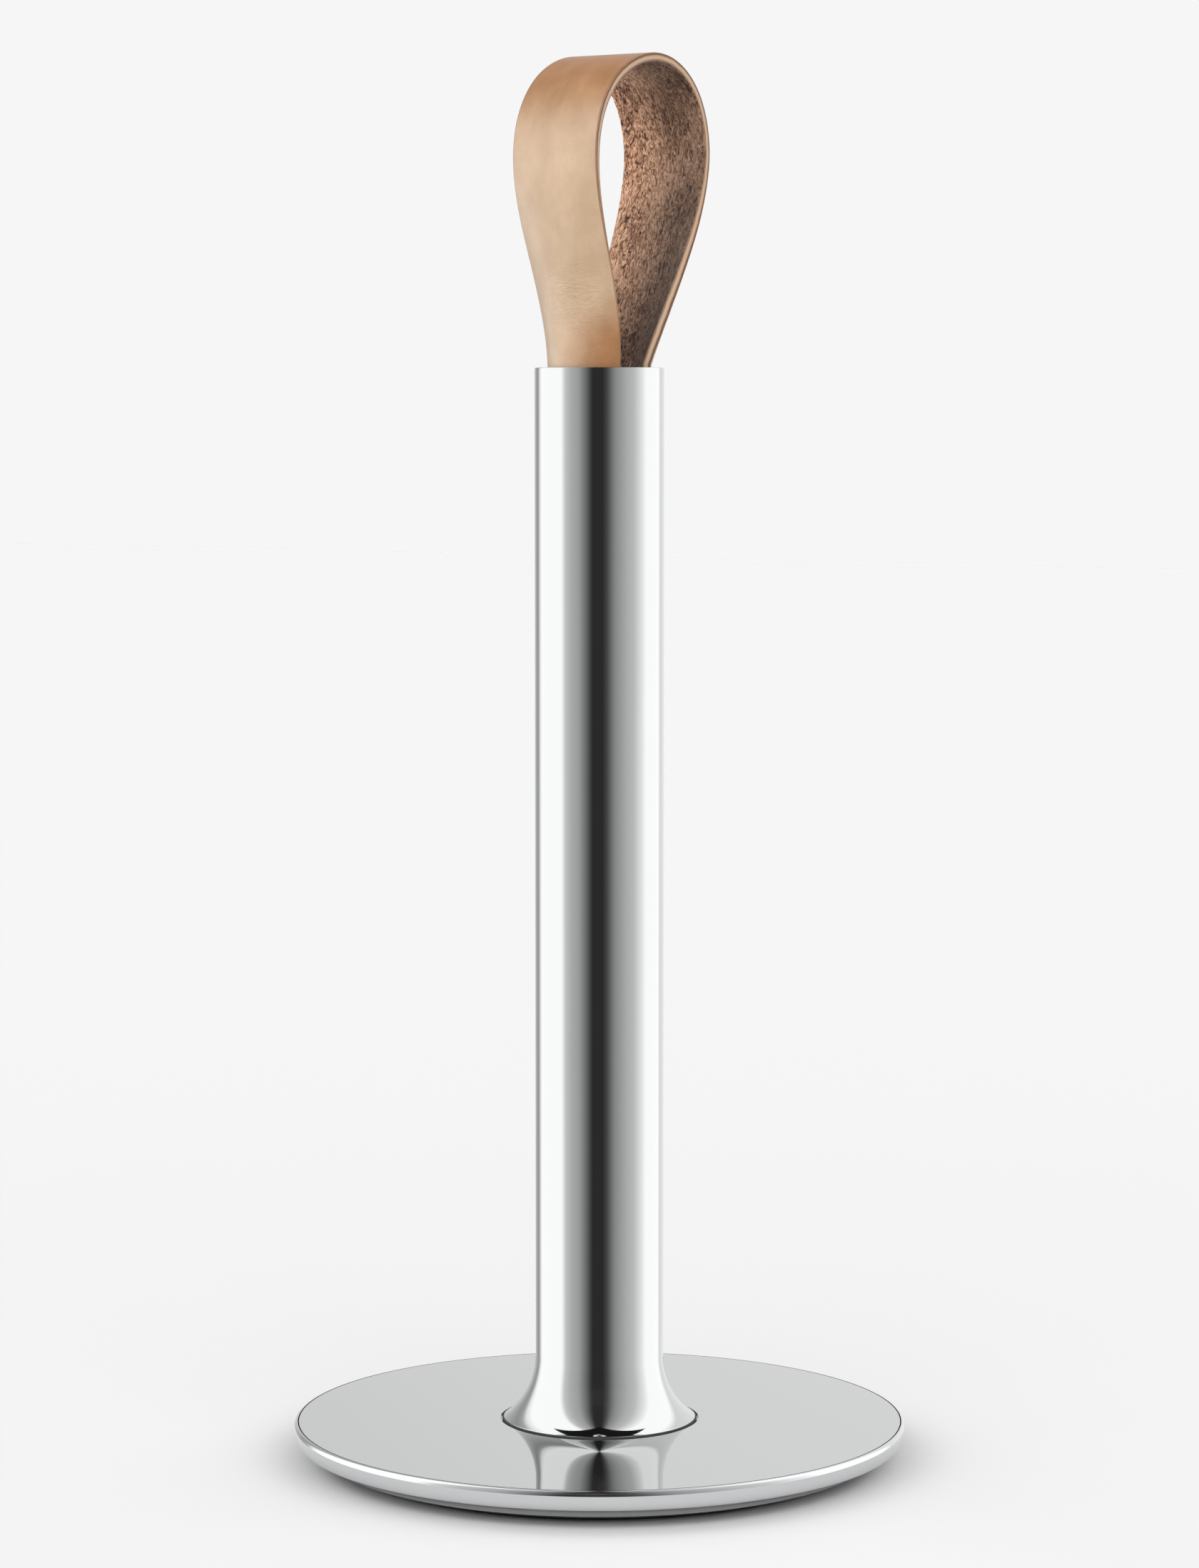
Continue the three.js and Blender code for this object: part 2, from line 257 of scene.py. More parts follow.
def mirror_polished_stainless(name, rings_per_mm):
    """Mirror-polished stainless: clear reflections, with hairlines left by the polishing wheel."""
    # Real hairlines are a few hundredths of a millimetre apart, too fine to show. These are drawn
    # coarser, at the rings_per_mm that each piece is given.
    material, tree, shader = new_material(name)
    shader.inputs["Base Color"].default_value = linear("#C4C5C5")
    shader.inputs["Metallic"].default_value = 1.0
    place = add_node(tree, "ShaderNodeTexCoord", {})
    parts = add_node(tree, "ShaderNodeSeparateXYZ", {"Vector": place.outputs["Object"]})
    flat = add_node(tree, "ShaderNodeCombineXYZ", {"X": parts.outputs["X"], "Y": parts.outputs["Y"]})
    radius = add_node(tree, "ShaderNodeVectorMath", {0: flat.outputs["Vector"]}, operation="LENGTH")
    lap = add_node(tree, "ShaderNodeMath", {0: radius.outputs["Value"], 1: parts.outputs["Z"]},
                   operation="ADD")
    hairlines = add_node(tree, "ShaderNodeTexNoise", {"W": lap.outputs["Value"],
                                                      "Scale": rings_per_mm / MM,
                                                      "Detail": 4.0}, noise_dimensions="1D")
    handling = add_node(tree, "ShaderNodeTexNoise", {"Vector": place.outputs["Object"],
                                                     "Scale": 1 / (14 * MM), "Detail": 4.0})
    haze = add_node(tree, "ShaderNodeMapRange", {"Value": handling.outputs["Fac"], "From Min": 0.4,
                                                 "From Max": 0.7, "To Min": 0.02, "To Max": 0.06})
    tree.links.new(haze.outputs["Result"], shader.inputs["Roughness"])
    bump = add_node(tree, "ShaderNodeBump", {"Height": hairlines.outputs["Fac"], "Strength": 0.03,
                                             "Distance": 0.02 * MM})
    tree.links.new(bump.outputs["Normal"], shader.inputs["Normal"])
    return material


gasket_low, gasket_high = node_box("foot_gasket")
bolt_hole = 4.4
recess_radius = gasket_high.x + 0.4

plate_profile = [
    (bolt_hole, plate_low.z),
    (plate_high.x, plate_low.z),
    (plate_high.x, plate_high.z),
    (recess_radius, plate_high.z),
    (recess_radius, gasket_low.z),
    (bolt_hole, gasket_low.z),
    (bolt_hole, plate_low.z),
]
top_plate = turn_on_lathe("polished_top_plate", plate_profile, steps=360)
break_edges(top_plate, edge_rounding)
plate_steel = mirror_polished_stainless("polished_stainless_plate", 2.5)
finish_piece(top_plate, plate_steel, "polished_chrome", "stand", "top_plate")
give_seam_painted_shadow(top_plate, seat, plate_high.x - rounded_reach, seam_radius)

# ---------------------------------------------------------------------------------------------
# Foot gasket: a ring stamped from black rubber sheet, squeezed under the post's foot, so that
# a thin dark line shows round it.
# ---------------------------------------------------------------------------------------------


def black_rubber():
    """Moulded black rubber: matt, faintly mottled, with a fine talc-dulled surface."""
    # The real grit is about 0.1 mm, too fine to show, so it is drawn coarser, at 0.5 mm.
    material, tree, shader = new_material("black_rubber")
    place = add_node(tree, "ShaderNodeTexCoord", {})
    mottle = add_node(tree, "ShaderNodeTexNoise", {"Vector": place.outputs["Object"],
                                                   "Scale": 1 / (3 * MM),
                                                   "Detail": 5.0})
    tone = add_node(tree, "ShaderNodeValToRGB", {"Fac": mottle.outputs["Fac"]},
                    stops=[(0.3, linear("#161617")), (0.75, linear("#242425"))])
    tree.links.new(tone.outputs["Color"], shader.inputs["Base Color"])
    shader.inputs["Roughness"].default_value = 0.72
    grit = add_node(tree, "ShaderNodeTexNoise", {"Vector": place.outputs["Object"],
                                                 "Scale": 1 / (0.5 * MM),
                                                 "Detail": 3.0})
    bump = add_node(tree, "ShaderNodeBump", {"Height": grit.outputs["Fac"], "Strength": 0.4,
                                             "Distance": 0.06 * MM})
    tree.links.new(bump.outputs["Normal"], shader.inputs["Normal"])
    return material


gasket_inner = 19
gasket_profile = [
    (gasket_inner, gasket_low.z),
    (gasket_high.x, gasket_low.z),
    (gasket_high.x, gasket_high.z),
    (gasket_inner, gasket_high.z),
    (gasket_inner, gasket_low.z),
]
foot_gasket = turn_on_lathe("rubber_foot_gasket", gasket_profile, steps=192)
break_edges(foot_gasket, 0.12)
rubber = black_rubber()
finish_piece(foot_gasket, rubber, "black_rubber", "stand", "foot_gasket")

# ---------------------------------------------------------------------------------------------
# Post: stainless tube with its foot flared out over a mandrel and its top faced off and broken
# at both corners. The threaded insert in its foot takes the bolt from below.
# ---------------------------------------------------------------------------------------------

tube_low, tube_high = node_box("post_tube")
tube_radius = 16
bore_radius = 14.5
flare_radius = 18.7
flare_height = 15.4
lip_thickness = 1.6
wall = tube_radius - bore_radius
flare_top = tube_low.z + flare_height
flare_centre = (tube_radius + flare_radius, flare_top)
inner_flare = flare_radius + wall
outer_sweep = math.degrees(math.asin(flare_height / flare_radius))
inner_sweep = math.degrees(math.asin((flare_height - lip_thickness) / inner_flare))
lip_radius = flare_centre[0] - inner_flare * math.cos(math.radians(inner_sweep))

post_profile = [
    (lip_radius, tube_low.z),
    *arc(flare_centre, (flare_radius, flare_radius), 180 + outer_sweep, 180, 36),
    (tube_radius, tube_high.z),
    (bore_radius, tube_high.z),
    *arc(flare_centre, (inner_flare, inner_flare), 180, 180 + inner_sweep, 12),
    (lip_radius, tube_low.z),
]
post = turn_on_lathe("polished_post_tube", post_profile, steps=288)
break_edges(post, 0.2, 4)
post_steel = mirror_polished_stainless("polished_stainless_tube", 1.5)
finish_piece(post, post_steel, "polished_chrome", "stand", "post_tube")

# ---------------------------------------------------------------------------------------------
# Underside: a moulded cover closes the base, four pan-head screws hold it, and a ring of
# rubber keeps the holder from sliding.
# ---------------------------------------------------------------------------------------------


def moulded_abs():
    """Black ABS from a spark-eroded mould: an even, fine grain with a low satin gloss."""
    # The mould's real grain is about 0.1 mm, too fine to show, so it is drawn coarser, at 0.5 mm.
    material, tree, shader = new_material("moulded_abs")
    place = add_node(tree, "ShaderNodeTexCoord", {})
    flow = add_node(tree, "ShaderNodeTexNoise", {"Vector": place.outputs["Object"],
                                                 "Scale": 1 / (20 * MM),
                                                 "Detail": 2.0})
    tone = add_node(tree, "ShaderNodeValToRGB", {"Fac": flow.outputs["Fac"]},
                    stops=[(0.3, linear("#1F2022")), (0.7, linear("#28292C"))])
    tree.links.new(tone.outputs["Color"], shader.inputs["Base Color"])
    shader.inputs["Roughness"].default_value = 0.48
    shader.inputs["IOR"].default_value = 1.53
    grain = add_node(tree, "ShaderNodeTexVoronoi", {"Vector": place.outputs["Object"],
                                                    "Scale": 1 / (0.5 * MM)})
    bump = add_node(tree, "ShaderNodeBump", {"Height": grain.outputs["Distance"], "Strength": 0.35,
                                             "Distance": 0.05 * MM})
    tree.links.new(bump.outputs["Normal"], shader.inputs["Normal"])
    return material


cover_low, cover_high = node_box("bottom_cover")
cover_edge_setback = 3
cover_profile = [
    (0, cover_low.z),
    (cover_high.x - cover_edge_setback, cover_low.z),
    (cover_high.x, cover_high.z),
    (0, cover_high.z),
]
bottom_cover = turn_on_lathe("moulded_bottom_cover", cover_profile, steps=192)
break_edges(bottom_cover, 0.2)
abs_plastic = moulded_abs()
finish_piece(bottom_cover, abs_plastic, "cover_plastic", "stand", "bottom_cover")

pad_low, pad_high = node_box("antislip_pad")
pad_inner = 46
groove_count = 5
groove_pitch = (pad_high.x - pad_inner) / (groove_count + 1)
groove_depth = 0.3
groove_half_width = 0.5
groove_half_floor = 0.25
pad_profile = [(pad_inner, pad_high.z), (pad_inner, pad_low.z)]
for i in range(1, groove_count + 1):
    middle = pad_inner + i * groove_pitch
    pad_profile += [
        (middle - groove_half_width, pad_low.z),
        (middle - groove_half_floor, pad_low.z + groove_depth),
        (middle + groove_half_floor, pad_low.z + groove_depth),
        (middle + groove_half_width, pad_low.z),
    ]
pad_profile += [(pad_high.x, pad_low.z), (pad_high.x, pad_high.z), (pad_inner, pad_high.z)]
antislip_pad = turn_on_lathe("rubber_antislip_ring", pad_profile, steps=192)
break_edges(antislip_pad, 0.12, 2)
finish_piece(antislip_pad, rubber, "black_rubber", "stand", "antislip_pad")


def zinc_plated_steel():
    """Bright zinc on turned steel: dull silver with a faint bluish drift and tool marks."""
    material, tree, shader = new_material("zinc_plated_steel")
    shader.inputs["Metallic"].default_value = 1.0
    place = add_node(tree, "ShaderNodeTexCoord", {})
    drift = add_node(tree, "ShaderNodeTexNoise", {"Vector": place.outputs["Object"],
                                                  "Scale": 1 / (2.5 * MM),
                                                  "Detail": 4.0})
    tone = add_node(tree, "ShaderNodeValToRGB", {"Fac": drift.outputs["Fac"]},
                    stops=[(0.3, linear("#A2A5A8")), (0.7, linear("#B9B8B2"))])
    tree.links.new(tone.outputs["Color"], shader.inputs["Base Color"])
    haze = add_node(tree, "ShaderNodeMapRange", {"Value": drift.outputs["Fac"], "To Min": 0.28,
                                                 "To Max": 0.42})
    tree.links.new(haze.outputs["Result"], shader.inputs["Roughness"])
    bump = add_node(tree, "ShaderNodeBump", {"Height": drift.outputs["Fac"], "Strength": 0.2,
                                             "Distance": 0.05 * MM})
    tree.links.new(bump.outputs["Normal"], shader.inputs["Normal"])
    return material


def cut_cross_recess(screw, depth, reach, width):
    """Sinks the driver's cross into the underside of a screw's head."""
    for length, breadth in ((reach, width), (width, reach)):
        bpy.ops.object.select_all(action="DESELECT")
        bpy.ops.mesh.primitive_cube_add(size=MM, location=(0, 0, 0))
        cutter = bpy.context.object
        bpy.ops.object.mode_set(mode="EDIT")
        bpy.ops.transform.resize(value=(length, breadth, 2 * depth))
        bpy.ops.transform.translate(value=(0, 0, screw_low.z * MM))
        bpy.ops.object.mode_set(mode="OBJECT")
        apply_modifier(screw, "BOOLEAN", object=cutter, operation="DIFFERENCE", solver="EXACT")
        bpy.data.objects.remove(cutter)


zinc = zinc_plated_steel()
screw_low, screw_high = node_box("cover_screw_1")
screw_radius = (screw_high.x - screw_low.x) / 2
shank_radius = 1.45
head_top = cover_low.z
head_rounding = (0.8, 0.6)
head_side = 0.4
tip_chamfer = 0.5
screw_profile = [
    (0, screw_low.z),
    (screw_radius - head_rounding[0], screw_low.z),
    *arc((screw_radius - head_rounding[0], head_top - head_side), head_rounding, -90, 0, 5),
    (screw_radius, head_top),
    (shank_radius, head_top),
    (shank_radius, screw_high.z - tip_chamfer),
    (shank_radius - tip_chamfer, screw_high.z),
    (0, screw_high.z),
]
pattern_screw = turn_on_lathe("pattern_screw", screw_profile, steps=48)
cut_cross_recess(pattern_screw, depth=0.6, reach=2.6, width=0.6)
break_edges(pattern_screw, 0.05, 2)
for i in range(1, 5):
    low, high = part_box(f"cover_screw_{i}")
    screw = pattern_screw.copy()
    screw.data = pattern_screw.data.copy()
    screw.name = f"pan_head_screw_{i}"
    bpy.context.collection.objects.link(screw)
    bpy.ops.object.select_all(action="DESELECT")
    bpy.context.view_layer.objects.active = screw
    screw.select_set(True)
    screw.location = ((low.x + high.x) / 2, (low.y + high.y) / 2, 0)
    bpy.ops.object.transform_apply(location=True, rotation=False, scale=False)
    finish_piece(screw, zinc, "fastener_steel", "stand", f"cover_screw_{i}")
bpy.data.objects.remove(pattern_screw)

# ---------------------------------------------------------------------------------------------
# Inside the base: the cast weight, the threaded insert, the bolt with its two washers, and the
# rivet through the strap. They keep their CAD shapes and get their own finishes.
# ---------------------------------------------------------------------------------------------


def sand_cast_iron():
    """Grey iron from a sand mould: dark, rough skin with a few lighter rubbed spots."""
    material, tree, shader = new_material("sand_cast_iron")
    shader.inputs["Metallic"].default_value = 0.6
    shader.inputs["Roughness"].default_value = 0.75
    place = add_node(tree, "ShaderNodeTexCoord", {})
    skin = add_node(tree, "ShaderNodeTexNoise", {"Vector": place.outputs["Object"],
                                                 "Scale": 1 / (1.2 * MM),
                                                 "Detail": 6.0, "Roughness": 0.7})
    tone = add_node(tree, "ShaderNodeValToRGB", {"Fac": skin.outputs["Fac"]},
                    stops=[(0.35, linear("#2B2B2D")), (0.8, linear("#57585A"))])
    tree.links.new(tone.outputs["Color"], shader.inputs["Base Color"])
    bump = add_node(tree, "ShaderNodeBump", {"Height": skin.outputs["Fac"], "Strength": 0.6,
                                             "Distance": 0.2 * MM})
    tree.links.new(bump.outputs["Normal"], shader.inputs["Normal"])
    return material


def recoat(node_name, material):
    """A carried-over node keeps its shape and takes a new finish."""
    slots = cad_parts[node_name].data.materials
    slots.clear()
    slots.append(material)


recoat("ballast_disc", sand_cast_iron())
for name in ("foot_insert", "post_bolt", "flat_washer", "spring_washer",
             "strap_rivet", "rivet_washer_1", "rivet_washer_2"):
    recoat(name, zinc)

# ---------------------------------------------------------------------------------------------
# Strap plug: moulded plastic, pressed into the bore below the mouth. Its collar grips the tube
# and its core spreads the strap's two ends against the bore.
# ---------------------------------------------------------------------------------------------

plug_low, plug_high = node_box("strap_plug")
tail_low, tail_high = node_box("strap_tail_1")
strap_thickness = 2.2
core_radius = tail_high.x - strap_thickness - fit_gap
collar_chamfer = 1
core_chamfer = 2
plug_profile = [
    (0, plug_low.z),
    (plug_high.x - collar_chamfer, plug_low.z),
    (plug_high.x, plug_low.z + collar_chamfer),
    (plug_high.x, tail_low.z - fit_gap),
    (core_radius, tail_low.z - fit_gap),
    (core_radius, plug_high.z - core_chamfer),
    (core_radius - core_chamfer, plug_high.z),
    (0, plug_high.z),
]
strap_plug = turn_on_lathe("moulded_strap_plug", plug_profile, steps=96)
break_edges(strap_plug, 0.3)
finish_piece(strap_plug, abs_plastic, "cover_plastic", "stand", "strap_plug")

# ---------------------------------------------------------------------------------------------
# Strap: one strip of vegetable-tanned leather, cut 25 mm wide and 2.2 mm thick, smooth grain
# outwards. It is bent over into a loop; its ends curl to the bore of the tube and the curl dies
# out some way up each leg.
# ---------------------------------------------------------------------------------------------

strap_width = 25
# Each leg leaves the mouth this far from the axis, and bends as a springy strip does.
leg_offset = 12
leg_angle = math.radians(10)
leg_bend = 0.0161773
loop_spring = -8.26302e-4
loop_half_length = 90.51
loop_settle = 0.996
# Each side leans a little out of true: millimetres, by powers of the share of the crown's height.
left_lean = (20.1, -19.8, -13.2, 20.2)
right_lean = (17.1, -49.6, 77.1, -37.3)
curl_radius = 11.2
left_curl_end = 70.7
right_curl_end = 53.5
curl_fade = 1.18
drift_depth = 0.25
drift_waves = 5
drift_width = 30
drift_seed = 2.7
drift_start = 12
mouth = tube_high.z
stations_up = 120
station = loop_half_length / stations_up
stations_down = int((mouth - tail_low.z) / station)
settling = 10


def strap_leg():
    """The strap's centre line as (across, up, slope), from its end in the tube to the crown."""
    above = []
    across, up, slope, bend = leg_offset, 0.0, leg_angle, leg_bend
    for _ in range(stations_up + 1):
        above.append((across, up, slope))
        middle = slope + bend * station / 2
        across += math.sin(middle) * station
        up += math.cos(middle) * station
        bend += loop_spring * math.cos(middle) * station
        slope += bend * station
    below = []
    across, up, slope = leg_offset, 0.0, leg_angle
    for _ in range(stations_down):
        slope = max(slope - leg_angle * station / settling, 0.0)
        across -= math.sin(slope) * station
        up -= math.cos(slope) * station
        below.append((across, up, slope))
    return below[::-1] + above


leg = strap_leg()
crown_height = leg[-1][1]
half_count = len(leg) - 1
strap_length = 2 * half_count * station


def leg_at(along):
    """The centre line's (across, up, slope), for along from -1 to 1 from end to end."""
    return leg[half_count - round(abs(along) * half_count)]


def place_on_strap(along, over):
    """The place of a point on the flat strip: along from -1 to 1 from end to end, over in mm."""
    if along >= 0:
        side, lean, curl_end = 1, right_lean, right_curl_end
    else:
        side, lean, curl_end = -1, left_lean, left_curl_end
    across, up, slope = leg_at(along)
    curl = max(0.0, 1 - max(up, 0.0) / curl_end) ** curl_fade / curl_radius
    turn = over * curl
    sag = (1 - math.cos(turn)) / curl if curl > 1e-6 else 0.0
    reach = math.sin(turn) / curl if curl > 1e-6 else over
    share = min(max(up / crown_height, 0.0), 1.0)
    shift = sum(factor * share ** (i + 1) for i, factor in enumerate(lean))
    wander = noise.noise(Vector((along * drift_waves, over / drift_width, drift_seed)))
    drift = wander * drift_depth * min(max(up, 0) / drift_start, 1)
    x = side * (across + (drift - sag) * math.cos(slope)) + shift
    z = mouth + up * (loop_settle if up > 0 else 1) - (drift - sag) * math.sin(slope)
    return Vector((x * MM, reach * MM, z * MM))


# Where the leather changes, and where its painted sheen and painted shade change, in millimetres above the
# mouth and across the strip.
wrinkle_up, wrinkle_over = 17, -2
wrinkle_up_spread, wrinkle_over_spread = 8, 7
sheen_fade_crown = (46, 76)
sheen_fade_corner = (0.3, 1.3)
corner_up, corner_over = 15, 13
flesh_across = (-11, 15)
flesh_mouth = (8, 34)
flesh_crown = (36, 58)


def wrinkling(along, over):
    """How far the grain is wrinkled: most where the curl dies out on the leg that faces -X."""
    up_off = (leg_at(along)[1] - wrinkle_up) / wrinkle_up_spread
    over_off = (over - wrinkle_over) / wrinkle_over_spread
    return math.exp(-up_off ** 2 - over_off ** 2) if along < 0 else 0.0


def smooth_step(low, high, value):
    """0 below low, 1 above high, and an even S between."""
    share = min(max((value - low) / (high - low), 0.0), 1.0)
    return share * share * (3 - 2 * share)


def painted_sheen(along, over):
    """Painted highlight: the grain is painted pale on the legs, where the side lights' broad sheen falls;
    the bent crown and the corner by the mouth, out of it, stay browner.
    """
    up = leg_at(along)[1]
    crown = 1 - smooth_step(*sheen_fade_crown, up)
    from_corner = math.hypot(up / corner_up, (over + strap_width / 2) / corner_over)
    corner = smooth_step(*sheen_fade_corner, from_corner) if along < 0 else 1.0
    return crown * corner


def flesh_painted_shade(along, over):
    """Painted shade: the flesh side is painted darker toward one edge and down at the mouth, and painted
    lighter at the crown.
    """
    up = leg_at(along)[1]
    across = 0.29 + 0.79 * smooth_step(*flesh_across, over) ** 1.7
    mouth_shade = 0.74 + 0.26 * smooth_step(*flesh_mouth, up)
    crown_shade = 1 + 0.75 * smooth_step(*flesh_crown, up)
    return across * mouth_shade * crown_shade


bpy.ops.object.select_all(action="DESELECT")
bpy.ops.mesh.primitive_grid_add(x_subdivisions=2 * half_count, y_subdivisions=36, size=2)
strap = bpy.context.object
strap.name = strap.data.name = "leather_pull_strap"
# The pale and shade layers hold the painted highlight on the grain and the painted shade on the flesh side.
for name in ("along", "over", "wrinkle", "pale", "shade"):
    strap.data.attributes.new(name, "FLOAT", "POINT")
layers = strap.data.attributes
for vertex in strap.data.vertices:
    along, over = vertex.co.x, vertex.co.y * strap_width / 2
    layers["along"].data[vertex.index].value = along
    layers["over"].data[vertex.index].value = over
    layers["wrinkle"].data[vertex.index].value = wrinkling(along, over)
    layers["pale"].data[vertex.index].value = painted_sheen(along, over)
    layers["shade"].data[vertex.index].value = flesh_painted_shade(along, over)
    vertex.co = place_on_strap(along, over)
grain_count = len(strap.data.vertices)

# The strip gets its thickness, its cut edges a face of their own, and burnished corners.
for _ in range(3):
    strap.data.materials.append(None)
apply_modifier(strap, "SOLIDIFY", thickness=strap_thickness * MM, offset=0, use_even_offset=True,
               material_offset=1, material_offset_rim=2)
depth_layer = strap.data.attributes.new("depth", "FLOAT", "POINT")
for vertex in strap.data.vertices:
    depth_layer.data[vertex.index].value = 1.0 if vertex.index < grain_count else 0.0
apply_modifier(strap, "BEVEL", width=0.35 * MM, segments=3, limit_method="ANGLE",
               angle_limit=math.radians(60))
bpy.ops.object.shade_smooth()


def strip_place(tree, mm_along, mm_over):
    """The place on the flat strip, counted in grains of that many millimetres each way."""
    place = add_node(tree, "ShaderNodeUVMap", {}, uv_map="UVMap")
    size = (strap_length / mm_along, strap_width / mm_over, 1)
    return add_node(tree, "ShaderNodeVectorMath", {0: place.outputs["UV"], 1: size},
                    operation="MULTIPLY")


def vegetable_tanned_grain():
    """Vegetable-tanned hide, grain side: warm tan under a thin wax with a painted highlight on the legs,
    fine pores, a few wrinkles.
    """
    # Real pores are about 0.3 mm apart, too fine to show, so they are drawn coarser, at 0.5 mm.
    material, tree, shader = new_material("vegetable_tanned_grain")
    cloud_place = strip_place(tree, 9, 6)
    cloud = add_node(tree, "ShaderNodeTexNoise", {"Vector": cloud_place.outputs[0], "Scale": 1.0,
                                                  "Detail": 6.0, "Roughness": 0.62})
    brown = add_node(tree, "ShaderNodeValToRGB", {"Fac": cloud.outputs["Fac"]},
                     stops=[(0.25, linear("#744A24")), (0.5, linear("#80552D")),
                            (0.8, linear("#8D633A"))])
    # The pale tan is a painted highlight: the side lights' broad sheen painted into the colour, placed by
    # the pale layer.
    painted_sheen_tan = add_node(tree, "ShaderNodeValToRGB", {"Fac": cloud.outputs["Fac"]},
                        stops=[(0.25, linear("#9C8062")), (0.5, linear("#A58A6D")),
                               (0.8, linear("#B0967B"))])
    pale = add_node(tree, "ShaderNodeAttribute", {}, attribute_name="pale")
    tan = add_node(tree, "ShaderNodeMix", {"Factor": pale.outputs["Fac"], "A": brown.outputs["Color"],
                                           "B": painted_sheen_tan.outputs["Color"]}, data_type="RGBA")
    over = add_node(tree, "ShaderNodeAttribute", {}, attribute_name="over")
    border = add_node(tree, "ShaderNodeMath", {0: over.outputs["Fac"]}, operation="ABSOLUTE")
    rim = add_node(tree, "ShaderNodeMapRange", {"Value": border.outputs["Value"], "From Min": 12.0,
                                                "From Max": 12.3})
    colour = add_node(tree, "ShaderNodeMix", {"Factor": rim.outputs["Result"],
                                              "A": tan.outputs["Result"],
                                              "B": linear("#6A4023")}, data_type="RGBA")
    tree.links.new(colour.outputs["Result"], shader.inputs["Base Color"])
    wax = add_node(tree, "ShaderNodeMapRange", {"Value": cloud.outputs["Fac"], "To Min": 0.34,
                                                "To Max": 0.5})
    tree.links.new(wax.outputs["Result"], shader.inputs["Roughness"])
    shader.inputs["Specular IOR Level"].default_value = 0.6
    coat = add_node(tree, "ShaderNodeMapRange", {"Value": pale.outputs["Fac"], "To Min": 0.0,
                                                 "To Max": 0.8})
    tree.links.new(coat.outputs["Result"], shader.inputs["Coat Weight"])
    shader.inputs["Coat Roughness"].default_value = 0.42
    pore_place = strip_place(tree, 0.6, 0.5)
    pores = add_node(tree, "ShaderNodeTexVoronoi", {"Vector": pore_place.outputs[0], "Scale": 1.0},
                     feature="DISTANCE_TO_EDGE")
    pitted = add_node(tree, "ShaderNodeBump", {"Height": pores.outputs["Distance"], "Strength": 0.3,
                                               "Distance": 0.05 * MM})
    crease_place = strip_place(tree, 1.1, 2.6)
    creases = add_node(tree, "ShaderNodeTexNoise", {"Vector": crease_place.outputs[0], "Scale": 1.0,
                                                    "Detail": 4.0, "Distortion": 1.2})
    worn = add_node(tree, "ShaderNodeAttribute", {}, attribute_name="wrinkle")
    amount = add_node(tree, "ShaderNodeMapRange", {"Value": worn.outputs["Fac"], "To Min": 0.08,
                                                   "To Max": 0.75})
    skin = add_node(tree, "ShaderNodeBump", {"Height": creases.outputs["Fac"],
                                             "Strength": amount.outputs["Result"],
                                             "Distance": 0.5 * MM, "Normal": pitted.outputs["Normal"]})
    tree.links.new(skin.outputs["Normal"], shader.inputs["Normal"])
    return material


def raw_flesh_side():
    """The same hide's flesh side: unsealed, dull, with short matted fibres of varied tone, their hollows
    painted dark as shade.
    """
    # Single fibres are under 0.1 mm thick, too fine to show. The pattern is their matted tufts,
    # drawn coarse at 1.7 by 0.75 mm.
    material, tree, shader = new_material("raw_flesh_side")
    fibre_place = strip_place(tree, 1.7, 0.75)
    fibres = add_node(tree, "ShaderNodeTexNoise", {"Vector": fibre_place.outputs[0], "Scale": 1.0,
                                                   "Detail": 4.0, "Roughness": 0.6, "Distortion": 1.4})
    patch_place = strip_place(tree, 14, 9)
    patches = add_node(tree, "ShaderNodeTexNoise", {"Vector": patch_place.outputs[0], "Scale": 1.0,
                                                    "Detail": 3.0})
    share = add_node(tree, "ShaderNodeMath", {0: patches.outputs["Fac"], 1: 0.35, 2: -0.175},
                     operation="MULTIPLY_ADD")
    mixed = add_node(tree, "ShaderNodeMath", {0: fibres.outputs["Fac"], 1: share.outputs["Value"]},
                     operation="ADD")
    # One noise gives both the bump and the tone, so the hollows are painted dark as their shade, over the
    # fibres' own varied tone.
    tone = add_node(tree, "ShaderNodeValToRGB", {"Fac": mixed.outputs["Value"]},
                    stops=[(0.34, linear("#3A261E")), (0.43, linear("#7E5846")),
                           (0.52, linear("#AE8668")), (0.64, linear("#DAB094"))])
    # The shade layer multiplies painted shade into the colour: darker toward one edge and at the mouth,
    # lighter at the crown.
    shade = add_node(tree, "ShaderNodeAttribute", {}, attribute_name="shade")
    colour = add_node(tree, "ShaderNodeMix", {"Factor": 1.0, "A": tone.outputs["Color"],
                                              "B": shade.outputs["Color"]},
                      data_type="RGBA", blend_type="MULTIPLY")
    tree.links.new(colour.outputs["Result"], shader.inputs["Base Color"])
    shader.inputs["Roughness"].default_value = 0.9
    shader.inputs["Specular IOR Level"].default_value = 0.25
    shader.inputs["Sheen Weight"].default_value = 0.1
    shader.inputs["Sheen Roughness"].default_value = 0.5
    bump = add_node(tree, "ShaderNodeBump", {"Height": fibres.outputs["Fac"], "Strength": 0.9,
                                             "Distance": 0.9 * MM})
    tree.links.new(bump.outputs["Normal"], shader.inputs["Normal"])
    return material


